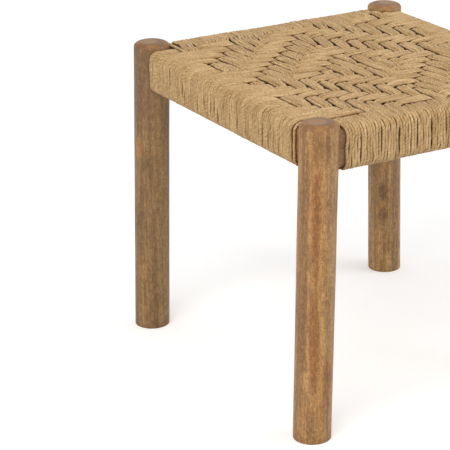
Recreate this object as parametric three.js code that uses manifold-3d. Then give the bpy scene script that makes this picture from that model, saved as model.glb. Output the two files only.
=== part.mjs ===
// A low stool: four round wooden legs, four rails tenoned into them, and a seat of jute cord.
// The warp is wound round the two side rails, and the weft round the front and back rails,
// woven over and under the warp in a twill of nested diamonds.
// Millimetres, +Z up. The origin is on the floor under the middle of the seat, with +X to the
// right and the front of the stool at -Y.

import * as THREE from "three";
import { mergeVertices } from "three/addons/utils/BufferGeometryUtils.js";
import Module from "manifold-3d";

const wasm = await Module();
wasm.setup();

// General clearances and overruns
const fitGap = 0.3; // between pieces that touch or fit
const cutOverrun = 4; // how far a cut runs past the face that it opens
const weldDistance = 1e-4; // vertices closer than this are one

// Legs
const legHeight = 450;
const legRadius = 26.5;
const legSpanX = 416; // between the leg axes at their tops
const legSpanY = 455;
const splayX = 10; // how far a foot stands outside its top
const splayY = 1.5;
const shoulderHeight = 7; // the rounding below the flat of a leg's top
const topFlatRadius = 13;
const footEase = 1.2;
const legSides = 32;
const shoulderSteps = 4;

// Rails
const seatBelowLegTop = 9; // from a leg's top down to the cord on the rails
const railHeight = 53;
const railThickness = 28;
const railCornerRadius = 9;
const railCornerSides = 3;

// Tenons: the front and back rails take the upper half of each leg's joint, the side rails the lower
const tenonThickness = 14;
const tenonShoulder = 5; // above the upper tenon and below the lower one
const tenonWeb = 3; // between the two mortises' levels
const tenonPastAxis = 8;
const tenonRoot = 6; // how deep a tenon is rooted in its rail

// Cord. Each turn of a winding is a flat band of cords laid side by side.
const cordsPerBand = 4;
const cordOnRail = 4; // thickness of a band round a rail
const cordInMat = 3; // and where it is pressed flat in the weave
const matGap = 0.6; // between a band and the one that it crosses
const matDrop = 2.5; // the weave's middle below the band on a rail
const bandGapOnRail = 0.8; // between neighbouring turns round a rail
const warpGapInMat = 4.9; // and in the weave, where the other winding dips between them
const weftGapInMat = 4.45;
const legClearance = 0.5; // from the outermost turn to the leg
const warpTurns = 20;
const weftTurns = 19;
const floatBands = 3; // bands that a cord passes over, and then under
const dipShare = 0.5; // a dip's length, as a share of the gap that it goes through
const bendSteps = 2; // facets round a rail's corner

// Tacks that hold the cords' ends
const tackShaftRadius = 1;
const tackHeadRadius = 2.8;
const tackHeadThickness = 1;
const tackDepth = 14; // of the shaft in the rail
const tackPoint = 3;
const tackSides = 12;

// Measures that follow
const railTop = legHeight - seatBelowLegTop - cordOnRail - fitGap;
const railBottom = railTop - railHeight;
const railMiddle = (railTop + railBottom) / 2;
const tenonHeight = (railHeight - tenonWeb) / 2 - tenonShoulder;
const matSpanX = legSpanX - 2 * (legRadius + legClearance);
const matSpanY = legSpanY - 2 * (legRadius + legClearance);
const warpPitch = matSpanY / warpTurns;
const weftPitch = matSpanX / weftTurns;

// Materials
const wood = (colour) => new THREE.MeshStandardMaterial({ color: colour, roughness: 0.55, metalness: 0 });
const legColours = { front_left: 0x8a5f3a, front_right: 0x85603d, back_left: 0x6f5036, back_right: 0x735338 };
const railColour = 0x7a5a3c;
const warpMaterial = new THREE.MeshStandardMaterial({ color: 0xc2a06c, roughness: 0.9, metalness: 0 });
const weftMaterial = new THREE.MeshStandardMaterial({ color: 0xba9762, roughness: 0.9, metalness: 0 });
const tackMaterial = new THREE.MeshStandardMaterial({ color: 0x8c8c88, roughness: 0.4, metalness: 1 });

// Geometry to solid and back
function toSolid(geometry) {
  const bare = geometry.clone();
  bare.deleteAttribute("normal");
  bare.deleteAttribute("uv");
  const merged = mergeVertices(bare, weldDistance);
  return new wasm.Manifold(
    new wasm.Mesh({
      numProp: 3,
      vertProperties: merged.attributes.position.array,
      triVerts: new Uint32Array(merged.index.array),
    }),
  );
}

function toGeometry(solid) {
  const mesh = solid.getMesh();
  const geometry = new THREE.BufferGeometry();
  geometry.setAttribute("position", new THREE.BufferAttribute(mesh.vertProperties, 3));
  geometry.setIndex(new THREE.BufferAttribute(mesh.triVerts, 1));
  geometry.computeVertexNormals();
  return geometry;
}

function boxSolid(low, high) {
  const size = high.clone().sub(low);
  const middle = low.clone().add(high).divideScalar(2);
  return toSolid(new THREE.BoxGeometry(size.x, size.y, size.z).translate(middle.x, middle.y, middle.z));
}

// A leg at the corner (sideX, sideY), grown all round where it serves as a cutter. It leans outward
// by a shear, so that its foot and its top stay level.
function legGeometry(sideX, sideY, grow) {
  const radius = legRadius + grow;
  const profile = [
    new THREE.Vector2(0, 0),
    new THREE.Vector2(radius - footEase, 0),
    new THREE.Vector2(radius, footEase),
  ];
  for (let step = 0; step <= shoulderSteps; step++) {
    const angle = (step / shoulderSteps) * (Math.PI / 2);
    const shoulderWidth = radius - topFlatRadius;
    const r = topFlatRadius + shoulderWidth * Math.cos(angle);
    const z = legHeight - shoulderHeight * (1 - Math.sin(angle));
    profile.push(new THREE.Vector2(r, z));
  }
  profile.push(new THREE.Vector2(0, legHeight));
  const upright = new THREE.LatheGeometry(profile, legSides).rotateX(Math.PI / 2);
  const leanX = (-sideX * splayX) / legHeight;
  const leanY = (-sideY * splayY) / legHeight;
  const footX = sideX * (legSpanX / 2 + splayX);
  const footY = sideY * (legSpanY / 2 + splayY);
  const lean = new THREE.Matrix4().set(1, 0, leanX, footX, 0, 1, leanY, footY, 0, 0, 1, 0, 0, 0, 0, 1);
  return upright.applyMatrix4(lean);
}

// The tenon that enters the leg at the corner (sideX, sideY), grown where it cuts the mortise
function tenonSolid(alongX, sideX, sideY, grow) {
  const half = tenonThickness / 2 + grow;
  const inner = legRadius + tenonRoot;
  const outer = tenonPastAxis + grow;
  const foot = alongX ? railMiddle + tenonWeb / 2 : railMiddle - tenonWeb / 2 - tenonHeight;
  const axisX = (sideX * legSpanX) / 2;
  const axisY = (sideY * legSpanY) / 2;
  const low = new THREE.Vector3(axisX - half, axisY - half, foot - grow);
  const high = new THREE.Vector3(axisX + half, axisY + half, foot + tenonHeight + grow);
  const axis = alongX ? "x" : "y";
  const side = alongX ? sideX : sideY;
  const middle = alongX ? axisX : axisY;
  low[axis] = side < 0 ? middle - outer : middle - inner;
  high[axis] = side < 0 ? middle + inner : middle + outer;
  return boxSolid(low, high);
}

function legSolid(sideX, sideY) {
  return toSolid(legGeometry(sideX, sideY, 0))
    .subtract(tenonSolid(true, sideX, sideY, fitGap))
    .subtract(tenonSolid(false, sideX, sideY, fitGap));
}

// A rail's rounded section, run from leg axis to leg axis, coped round the legs and given tenons
function railSection() {
  const halfWidth = railThickness / 2;
  const halfHeight = railHeight / 2;
  const inX = halfWidth - railCornerRadius;
  const inY = halfHeight - railCornerRadius;
  const section = new THREE.Shape();
  section.moveTo(-inX, -halfHeight);
  section.absarc(inX, -inY, railCornerRadius, -Math.PI / 2, 0, false);
  section.absarc(inX, inY, railCornerRadius, 0, Math.PI / 2, false);
  section.absarc(-inX, inY, railCornerRadius, Math.PI / 2, Math.PI, false);
  section.absarc(-inX, -inY, railCornerRadius, Math.PI, Math.PI * 1.5, false);
  return section;
}

function railSolid(alongX, side) {
  const length = alongX ? legSpanX : legSpanY;
  const bar = new THREE.ExtrudeGeometry(railSection(), {
    depth: length,
    bevelEnabled: false,
    curveSegments: railCornerSides,
  });
  bar.translate(0, 0, -length / 2).rotateX(Math.PI / 2);
  if (alongX) bar.rotateZ(Math.PI / 2);
  const x = alongX ? 0 : (side * legSpanX) / 2;
  const y = alongX ? (side * legSpanY) / 2 : 0;
  bar.translate(x, y, railMiddle);
  let rail = toSolid(bar);
  for (const end of [-1, 1]) {
    const sideX = alongX ? end : side;
    const sideY = alongX ? side : end;
    rail = rail.subtract(toSolid(legGeometry(sideX, sideY, fitGap)));
  }
  for (const end of [-1, 1]) {
    rail = rail.add(tenonSolid(alongX, alongX ? end : side, alongX ? side : end, 0));
  }
  return rail;
}

// The weave: rows are the warp's turns, counted from the back, and columns the weft's, from the left.
// Diamonds spread from one cell in the middle.
const middleRow = Math.floor(warpTurns / 2);
const middleColumn = Math.floor(weftTurns / 2);

function weftIsOver(row, column) {
  const repeat = 2 * floatBands;
  const distance = Math.abs(row - middleRow) + Math.abs(column - middleColumn);
  return (distance - 1 + repeat) % repeat < floatBands;
}

// The two windings, each in a frame of its own: u runs from the first rail to the second, v across
const warp = {
  turns: warpTurns,
  pitch: warpPitch,
  halfSpan: legSpanX / 2,
  crossed: weftTurns,
  crossedPitch: weftPitch,
  crossedGap: weftGapInMat,
  matWidth: warpPitch - warpGapInMat,
  v: (turn) => matSpanY / 2 - (turn + 0.5) * warpPitch,
  isOver: (turn, cell) => !weftIsOver(turn, cell),
  rise: cordOnRail + matGap,
};
const weft = {
  turns: weftTurns,
  pitch: weftPitch,
  halfSpan: legSpanY / 2,
  crossed: warpTurns,
  crossedPitch: warpPitch,
  crossedGap: warpGapInMat,
  matWidth: weftPitch - weftGapInMat,
  v: (turn) => matSpanX / 2 - (turn + 0.5) * weftPitch,
  isOver: (turn, cell) => weftIsOver(warpTurns - 1 - cell, turn),
  rise: 0,
};

const bandOffset = fitGap + cordOnRail / 2; // from a rail's face to the middle of a band
const topLine = railTop + bandOffset;
const bottomLine = railBottom - bandOffset;
const matLine = topLine - matDrop;
const matLift = (cordInMat + matGap) / 2; // of a band above or below the weave's middle

// The facets of a bend round a rail's corner, from the angle start, turning clockwise
function bend(centreU, centreZ, start) {
  const step = Math.PI / 2 / bendSteps;
  const radius = (railCornerRadius + bandOffset) / Math.cos(step / 2);
  return Array.from({ length: bendSteps }, (_, i) => {
    const angle = start - (i + 0.5) * step;
    return { u: centreU + radius * Math.cos(angle), z: centreZ + radius * Math.sin(angle) };
  });
}

// One turn's stations, from under the first rail, up its face and over the seat to under the second
function turnStations(winding, turn) {
  const { halfSpan, crossed, crossedPitch, crossedGap, matWidth } = winding;
  const v = winding.v(turn);
  const cornerU = halfSpan + railThickness / 2 - railCornerRadius;
  const highZ = railTop - railCornerRadius;
  const lowZ = railBottom + railCornerRadius;
  const innerFace = halfSpan - railThickness / 2;
  const edge = (cell) => (cell - crossed / 2) * crossedPitch;
  const level = (cell) => matLine + (winding.isOver(turn, cell) ? matLift : -matLift);
  const onRail = (place) => ({
    ...place,
    v,
    width: winding.pitch - bandGapOnRail,
    thickness: cordOnRail,
  });
  const inMat = (u, z) => ({ u, z, v, width: matWidth, thickness: cordInMat });
  const mat = [inMat(edge(0), level(0))];
  for (let cell = 1; cell < crossed; cell++) {
    if (level(cell) === level(cell - 1)) continue;
    const half = (crossedGap * dipShare) / 2;
    mat.push(inMat(edge(cell) - half, level(cell - 1)), inMat(edge(cell) + half, level(cell)));
  }
  mat.push(inMat(edge(crossed), level(crossed - 1)));
  return [
    ...bend(-cornerU, lowZ, Math.PI * 1.5).map(onRail),
    ...bend(-cornerU, highZ, Math.PI).map(onRail),
    onRail({ u: -innerFace, z: topLine }),
    ...mat,
    onRail({ u: innerFace, z: topLine }),
    ...bend(cornerU, highZ, Math.PI / 2).map(onRail),
    ...bend(cornerU, lowZ, 0).map(onRail),
  ];
}

// The way back under the seat to the next turn. The warp lifts clear of the weft, which lies below it.
function returnStations(winding, turn) {
  const width = winding.pitch - bandGapOnRail;
  const innerFace = winding.halfSpan - railThickness / 2;
  const crossing = (winding.crossed * winding.crossedPitch) / 2;
  const station = (u, z, v) => ({ u, z, v, width, thickness: cordOnRail });
  const [from, to] = [winding.v(turn), winding.v(turn + 1)];
  const first = station(innerFace, bottomLine, from);
  const last = station(-innerFace, bottomLine, to);
  if (winding.rise === 0) return [first, last];
  const lifted = bottomLine + winding.rise;
  return [first, station(crossing, lifted, from), station(-crossing, lifted, to), last];
}

// The whole route of a winding: it starts and ends in the middle of a rail's underside
function windingStations(winding) {
  const stations = [];
  for (let turn = 0; turn < winding.turns; turn++) {
    stations.push(...turnStations(winding, turn));
    if (turn < winding.turns - 1) stations.push(...returnStations(winding, turn));
  }
  const first = { ...stations[0], u: -winding.halfSpan, z: bottomLine };
  const last = { ...stations[stations.length - 1], u: winding.halfSpan, z: bottomLine };
  return [first, ...stations, last];
}

// The four corners of a band at each station, mitred where the band bends
function bandRings(stations) {
  const normals = stations.slice(1).map((next, i) => {
    const along = new THREE.Vector2(next.u - stations[i].u, next.z - stations[i].z).normalize();
    return new THREE.Vector2(-along.y, along.x);
  });
  return stations.map(({ u, z, v, width, thickness }, i) => {
    const before = normals[Math.max(i - 1, 0)];
    const after = normals[Math.min(i, normals.length - 1)];
    const out = before.clone().add(after).normalize();
    out.multiplyScalar(thickness / 2 / out.dot(after));
    return [
      new THREE.Vector3(u + out.x, v - width / 2, z + out.y),
      new THREE.Vector3(u + out.x, v + width / 2, z + out.y),
      new THREE.Vector3(u - out.x, v + width / 2, z - out.y),
      new THREE.Vector3(u - out.x, v - width / 2, z - out.y),
    ];
  });
}

function bandGeometry(stations) {
  const rings = bandRings(stations);
  const index = [0, 1, 2, 0, 2, 3];
  for (let ring = 1; ring < rings.length; ring++) {
    const here = ring * 4;
    const back = here - 4;
    for (let side = 0; side < 4; side++) {
      const next = (side + 1) % 4;
      index.push(back + side, here + side, here + next, back + side, here + next, back + next);
    }
  }
  const end = (rings.length - 1) * 4;
  index.push(end, end + 2, end + 1, end, end + 3, end + 2);
  const geometry = new THREE.BufferGeometry().setFromPoints(rings.flat());
  geometry.setIndex(index);
  geometry.computeVertexNormals();
  return geometry;
}

// The least gap between neighbouring turns, on points along the edges that face each other
function leastGap(winding) {
  const spacing = cordInMat;
  const edgePoints = (turn, sign) => {
    const route = turnStations(winding, turn);
    if (turn < winding.turns - 1) route.push(...returnStations(winding, turn));
    const line = route.map(({ u, z, v, width }) => new THREE.Vector3(u, v + (sign * width) / 2, z));
    return line.slice(1).flatMap((to, i) => {
      const count = Math.ceil(to.distanceTo(line[i]) / spacing);
      return Array.from({ length: count }, (_, k) => line[i].clone().lerp(to, k / count));
    });
  };
  let least = Infinity;
  for (let turn = 1; turn < winding.turns; turn++) {
    const nearEdge = edgePoints(turn - 1, -1);
    const farEdge = edgePoints(turn, 1);
    for (const a of nearEdge) for (const b of farEdge) least = Math.min(least, a.distanceTo(b));
  }
  return least;
}

// A tack at the end of a winding's first or last cord, which is the outermost of its band
const tackHeadTop = railBottom - 2 * fitGap - cordOnRail;
const tackTip = railBottom + tackDepth;

function tackGeometry(x, y) {
  const profile = [
    [0, tackHeadTop - tackHeadThickness],
    [tackHeadRadius, tackHeadTop - tackHeadThickness],
    [tackHeadRadius, tackHeadTop],
    [tackShaftRadius, tackHeadTop],
    [tackShaftRadius, tackTip - tackPoint],
    [0, tackTip],
  ].map(([r, z]) => new THREE.Vector2(r, z));
  return new THREE.LatheGeometry(profile, tackSides).rotateX(Math.PI / 2).translate(x, y, 0);
}

function tackHole(x, y) {
  const low = railBottom - cutOverrun;
  const high = tackTip + fitGap;
  const radius = tackShaftRadius + fitGap;
  const hole = new THREE.CylinderGeometry(radius, radius, high - low, tackSides);
  return toSolid(hole.rotateX(Math.PI / 2).translate(x, y, (low + high) / 2));
}

const tackInset = fitGap + tackShaftRadius; // from the end of a cord to a tack's axis
const outerCord = ({ v, pitch }) => v(0) + ((cordsPerBand - 1) / 2) * (pitch / cordsPerBand);
const tacks = {
  warp_start: { rail: "left", x: -warp.halfSpan + tackInset, y: outerCord(warp) },
  warp_end: { rail: "right", x: warp.halfSpan - tackInset, y: -outerCord(warp) },
  weft_start: { rail: "front", x: -outerCord(weft), y: -weft.halfSpan + tackInset },
  weft_end: { rail: "back", x: outerCord(weft), y: weft.halfSpan - tackInset },
};

// The stool
const stool = new THREE.Group();

function addPiece(name, geometry, material) {
  const mesh = new THREE.Mesh(geometry, material);
  mesh.name = name;
  stool.add(mesh);
  return mesh;
}

const corners = { front_left: [-1, -1], front_right: [1, -1], back_left: [-1, 1], back_right: [1, 1] };
for (const [corner, [sideX, sideY]] of Object.entries(corners)) {
  addPiece(`leg_${corner}`, toGeometry(legSolid(sideX, sideY)), wood(legColours[corner]));
}

const rails = { front: [true, -1], back: [true, 1], left: [false, -1], right: [false, 1] };
for (const [place, [alongX, side]] of Object.entries(rails)) {
  let rail = railSolid(alongX, side);
  for (const tack of Object.values(tacks)) {
    if (tack.rail === place) rail = rail.subtract(tackHole(tack.x, tack.y));
  }
  addPiece(`rail_${place}`, toGeometry(rail), wood(railColour));
}

addPiece("warp_cord", bandGeometry(windingStations(warp)), warpMaterial);
addPiece("weft_cord", bandGeometry(windingStations(weft)), weftMaterial).rotation.z = Math.PI / 2;
console.log(`least gap between turns: warp ${leastGap(warp).toFixed(2)} mm`);
console.log(`least gap between turns: weft ${leastGap(weft).toFixed(2)} mm`);

for (const [name, { x, y }] of Object.entries(tacks)) {
  addPiece(`tack_${name}`, tackGeometry(x, y), tackMaterial);
}

export default stool;
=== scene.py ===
"""The looks of a low wooden stool with a seat of twisted jute cord.

Metres, +Z up, the front of the stool at -Y. Each winding is one long cord. It goes round two rails
and across the seat, and back under the seat to its next turn. Three to five turns side by side make
a band, and the bands of the two windings cross over and under each other in nested diamonds.
"""

import math

import bmesh
import bpy
import numpy as np
from mathutils import Matrix, Vector, noise


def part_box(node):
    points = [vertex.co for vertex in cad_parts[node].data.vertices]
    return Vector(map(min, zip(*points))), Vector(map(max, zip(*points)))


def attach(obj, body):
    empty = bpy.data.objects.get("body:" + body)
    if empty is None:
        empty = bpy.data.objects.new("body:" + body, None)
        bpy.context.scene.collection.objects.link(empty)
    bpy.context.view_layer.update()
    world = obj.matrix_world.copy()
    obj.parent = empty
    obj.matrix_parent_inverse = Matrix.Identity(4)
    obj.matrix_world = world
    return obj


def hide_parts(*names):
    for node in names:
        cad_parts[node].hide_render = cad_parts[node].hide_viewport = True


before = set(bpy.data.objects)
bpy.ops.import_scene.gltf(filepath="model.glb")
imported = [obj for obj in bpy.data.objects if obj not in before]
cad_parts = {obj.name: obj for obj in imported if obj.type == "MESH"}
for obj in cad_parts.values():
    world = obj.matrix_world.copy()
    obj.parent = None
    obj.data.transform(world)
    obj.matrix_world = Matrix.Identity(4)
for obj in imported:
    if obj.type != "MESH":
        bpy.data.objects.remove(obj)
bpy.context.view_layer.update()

# Cord
CORD_THICKNESS = 0.0044
CORD_LAY = 0.0115  # length in which one of its two plies goes once round
CORD_SIDES = 8
CORD_STEP = 0.0023
CORD_TO_RAIL = 0.0001
FULLNESS = (0.95, 1.10)  # of a cord that is crowded in its band, and of one that spreads there
CORD_PITCH = 0.0048  # between cords in the seat, on average
PIECES_PER_WINDING = 4

# Weave. The widths are relative, of the warp's bands from the back and of the weft's from the left.
WARP_BAND_WIDTHS = (23, 25, 21, 21, 17, 17, 18, 16, 22, 20, 20, 22, 20, 18, 18, 21, 18, 19, 20, 21)
WEFT_BAND_WIDTHS = (25, 21, 19, 18, 16, 19, 21, 21, 18, 16, 19, 19, 18, 19, 21, 23, 20, 18, 13)
FLOAT_BANDS = 3  # bands that a cord passes over, and then under
MAT_DROP = 0.0025  # the weave's middle below the cord on the rails
MAT_LIFT = 0.0032  # of an upper or a lower cord from the weave's middle
MAT_SAG = 0.0025
WEAVE_SHADE_LEVEL = -1 / 6  # where painted shade starts on a cord that goes from over (1) to under (-1)
DIVE_HALF_LENGTH = 0.0058
DIVE_SHIFT = 0.0026  # how early an upper cord starts to dive
PINCH_START = 0.004  # how far beyond a float's end its edge has drawn back fully
WARP_PINCH = (0.032, 0.0040)  # the length in which the edge comes back, and by how much
WEFT_PINCH = (0.042, 0.0050)
CROWD_LIFT = 0.12  # of the pinch: crowded cords ride up and down beside each other
BAND_CROWN = 0.0003
CROWN_REACH = 1.5  # cords from a band's middle to where its crown has come down
SIDE_WANDER = 0.0004
HEIGHT_WANDER = 0.00025
WANDER_LENGTHS = (0.027, 0.043, 0.091)
FAN_SHIFT = 0.017  # of the weft to the right, where it comes to the back rail
FAN_START = 0.040  # behind the middle of the seat
FAN_LEFT = (-0.175, -0.065)  # from none to all of the shift
FAN_RIGHT = (0.168, 0.080)
CORNER = (0.186, 0.212)  # by the back right leg, where the cords are crowded up
CORNER_LIFT = 0.0045
CORNER_REACH = 0.050

# Cords on a rail
RAIL_CORNER = 0.009
RAIL_CORNER_POINTS = 13
END_GAP = 0.003  # of bare rail beside a leg
NO_GAP = 0.0003
LEFT_RAIL_END_GAPS = (-0.0026, 0.0045)  # at the back, where the cords press on the leg, and at the front
LEFT_RAIL_LAST_GAP = 0.004  # between the two cords next to the front leg
BACK_RAIL_WIDE_GAPS = {  # by the cord before
    0: 0.0075, 18: 0.0025, 42: 0.003, 46: 0.002, 68: 0.003, 71: 0.002,
}
BACK_RAIL_EVENNESS = 30.0
BACK_RAIL_FULLNESS = 1.22
EVEN_GAP_WEIGHT = 0.6
LOOSE_GAP_SHAPE = 0.6
OPENING_REACH = 2.2  # how many cords share the push of an opening between two of them
OPENING_END = 1.3  # where an opening has closed, in lengths from its middle
OPENING_SPACING = 5
OPENING_STRAY = 2
OPENING_MARGIN = 4
OPENING_RANGES = ((0.25, 0.6), (0.25, 0.4), (0.0006, 0.0019))  # of the height, the length and the width
LEFT_RAIL_OPENINGS = [  # the cord before, the height and length as shares of the wrap's, and the width
    (5, 0.30, 0.28, 0.0014), (8, 0.35, 0.35, 0.0016), (12, 0.58, 0.26, 0.0027),
    (17, 0.45, 0.30, 0.0015), (21, 0.30, 0.24, 0.0015), (25, 0.45, 0.28, 0.0023),
    (29, 0.24, 0.28, 0.0024), (33, 0.45, 0.24, 0.0014), (37, 0.35, 0.32, 0.0019),
    (41, 0.26, 0.30, 0.0023), (44, 0.50, 0.24, 0.0018), (48, 0.30, 0.30, 0.0018),
    (52, 0.50, 0.28, 0.0016), (57, 0.35, 0.34, 0.0018), (61, 0.50, 0.26, 0.0015),
    (66, 0.40, 0.32, 0.0023), (70, 0.55, 0.26, 0.0016), (74, 0.35, 0.35, 0.0018),
]
FRONT_RAIL_OPENINGS = [
    (4, 0.40, 0.45, 0.0016), (8, 0.30, 0.30, 0.0010), (11, 0.55, 0.35, 0.0014),
    (17, 0.50, 0.40, 0.0015), (20, 0.60, 0.25, 0.0010), (23, 0.50, 0.45, 0.0017),
    (28, 0.45, 0.45, 0.0024), (33, 0.60, 0.30, 0.0015), (36, 0.50, 0.40, 0.0015),
    (44, 0.45, 0.40, 0.0017), (51, 0.50, 0.30, 0.0014), (60, 0.40, 0.40, 0.0017),
    (68, 0.50, 0.35, 0.0014),
]
SETTLE_LENGTH = 0.035  # in which a cord goes from its place on a rail to its place in its band
RETURN_RISE = 0.0046  # of the warp over the weft, under the seat
RISE_LENGTH = 0.020

# Legs
LEG_RADIUS = 0.0265
LEG_SPLAY = (0.010, 0.0015)  # how much further out the foot is than the top, sideways and lengthways
LEG_SEGMENTS = 96
LEG_RING_SPACING = 0.012
SHOULDER_HEIGHT = 0.007
SHOULDER_STEPS = 8
TOP_FLAT_RADIUS = 0.013
FOOT_EASE = 0.0012
FOOT_EASE_STEPS = 3
MERGE_DISTANCE = 1e-6
LEG_UNEVENNESS = 0.00022
LUMPS_ROUND_LEG = 45  # to the metre
LUMPS_ALONG_LEG = 14
LEG_LUMP_SHIFT = 40  # for each metre between two legs, so that their lumps differ
SHARP_ANGLE = math.radians(35)

random = np.random.default_rng(7)

# From the frame
warp_low, warp_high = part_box("warp_cord")
weft_low, weft_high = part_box("weft_cord")
back_low, back_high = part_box("rail_back")
warp_width = warp_high.y - warp_low.y
weft_width = weft_high.x - weft_low.x
back_rail_y = (back_low.y + back_high.y) / 2


# Shader expressions
class Value:
    """A socket of a material's node. Arithmetic on it adds Math nodes."""

    def __init__(self, finish, socket):
        self.finish = finish
        self.socket = socket

    def math(self, operation, *others):
        return self.finish.math(operation, self, *others)

    def __add__(self, other):
        return self.math("ADD", other)

    __radd__ = __add__

    def __mul__(self, other):
        return self.math("MULTIPLY", other)

    __rmul__ = __mul__

    def __sub__(self, other):
        return self.math("SUBTRACT", other)

    def __rsub__(self, other):
        return self.finish.math("SUBTRACT", other, self)

    def __truediv__(self, other):
        return self.math("DIVIDE", other)


class Finish:
    """A material, or the world's light, while it is put together."""

    def __init__(self, name, collection=bpy.data.materials):
        self.data = collection.new(name)
        self.data.use_nodes = True
        self.tree = self.data.node_tree
        self.tree.nodes.clear()

    def node(self, kind, settings=None, inputs=None, output=0):
        """Adds a node and gives its output, or for a tuple of outputs a list of them."""
        made = self.tree.nodes.new(kind)
        for name, value in (settings or {}).items():
            setattr(made, name, value)
        for key, value in (inputs or {}).items():
            if isinstance(value, Value):
                self.tree.links.new(value.socket, made.inputs[key])
            else:
                made.inputs[key].default_value = value
        if isinstance(output, tuple):
            return [Value(self, made.outputs[key]) for key in output]
        return Value(self, made.outputs[output]) if made.outputs else None

    def math(self, operation, *values):
        return self.node("ShaderNodeMath", {"operation": operation}, dict(enumerate(values)))

    def split(self, vector):
        return self.node("ShaderNodeSeparateXYZ", inputs={"Vector": vector}, output=("X", "Y", "Z"))

    def join(self, x, y, z):
        return self.node("ShaderNodeCombineXYZ", inputs={"X": x, "Y": y, "Z": z})

    def length(self, x, y, z):
        inputs = {"Vector": self.join(x, y, z)}
        return self.node("ShaderNodeVectorMath", {"operation": "LENGTH"}, inputs, "Value")

    def noise(self, vector, detail, roughness=0.5, distortion=0.0, scale=1.0):
        """Uneven values from 0 to 1. The vector is a socket, or three numbers or sockets."""
        inputs = {
            "Vector": self.join(*vector) if isinstance(vector, tuple) else vector,
            "Scale": scale,
            "Detail": detail,
            "Roughness": roughness,
            "Distortion": distortion,
        }
        return self.node("ShaderNodeTexNoise", inputs=inputs)

    def between(self, value, low, high):
        """0 at low, 1 at high and smooth between them. low may be the higher of the two."""
        settings = {"interpolation_type": "SMOOTHSTEP"}
        inputs = {"Value": value, "From Min": low, "From Max": high}
        return self.node("ShaderNodeMapRange", settings, inputs)

    def blend(self, factor, first, second):
        """A colour between two colours, which are the Mix node's inputs 6 and 7 and its output 2."""
        first, second = (
            colour if isinstance(colour, Value) else (*colour, 1) for colour in (first, second)
        )
        return self.node("ShaderNodeMix", {"data_type": "RGBA"}, {0: factor, 6: first, 7: second}, 2)

    def layers(self, colour, *tints):
        """A colour with others laid over it in turn, each given with how much of it shows."""
        for share, tint in tints:
            colour = self.blend(share, colour, tint)
        return colour

    def seen(self):
        """1 where it is seen directly, in a gloss or through glass, and 0 where it only gives light."""
        rays = ("Is Camera Ray", "Is Glossy Ray", "Is Transmission Ray")
        camera, glossy, transmission = self.node("ShaderNodeLightPath", output=rays)
        return (camera + glossy + transmission).math("MINIMUM", 1.0)

    def surface(self, colour, roughness, height, bump, bump_distance, constants):
        """Gives the material this colour, roughness and relief, and is the last step."""
        relief = {"Strength": bump, "Distance": bump_distance, "Height": height}
        inputs = {"Base Color": colour, "Roughness": roughness, **constants}
        inputs["Normal"] = self.node("ShaderNodeBump", inputs=relief)
        shader = self.node("ShaderNodeBsdfPrincipled", inputs=inputs)
        self.node("ShaderNodeOutputMaterial", inputs={"Surface": shader})
        return self.data


def rgb(red, green, blue):
    """A colour given as it looks on a screen, 0 to 255, as the linear light that shaders take."""
    def linear(level):
        share = level / 255
        return share / 12.92 if share <= 0.04045 else ((share + 0.055) / 1.055) ** 2.4
    return (linear(red), linear(green), linear(blue))


# Materials. Their noises' scales are lumps to the metre.
WHITE = (1, 1, 1, 1)
PALE_JUTE = rgb(222, 189, 139)
DEEP_JUTE = rgb(171, 135, 87)
MIDDLE_JUTE = rgb(196, 162, 112)
BLEACHED_FIBRE = rgb(236, 210, 166)
PALE_FIBRE = rgb(232, 204, 160)
BROWN_FIBRE = rgb(150, 112, 66)
STRAND_BROWN = rgb(146, 108, 62)
# painted shade in the grooves between a cord's plies
GROOVE_SHADE_BROWN = rgb(124, 86, 42)
# painted shade on the sides of cords, where they lie against each other and the rail
VALLEY_SHADE_BROWN = rgb(130, 90, 44)
PIT_SHADE_BROWN = rgb(104, 62, 20)
HUSK_BROWN = rgb(84, 58, 32)
# painted shade for cords that lie deep in the weave
DEPTH_SHADE_BROWN = rgb(92, 52, 14)


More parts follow.
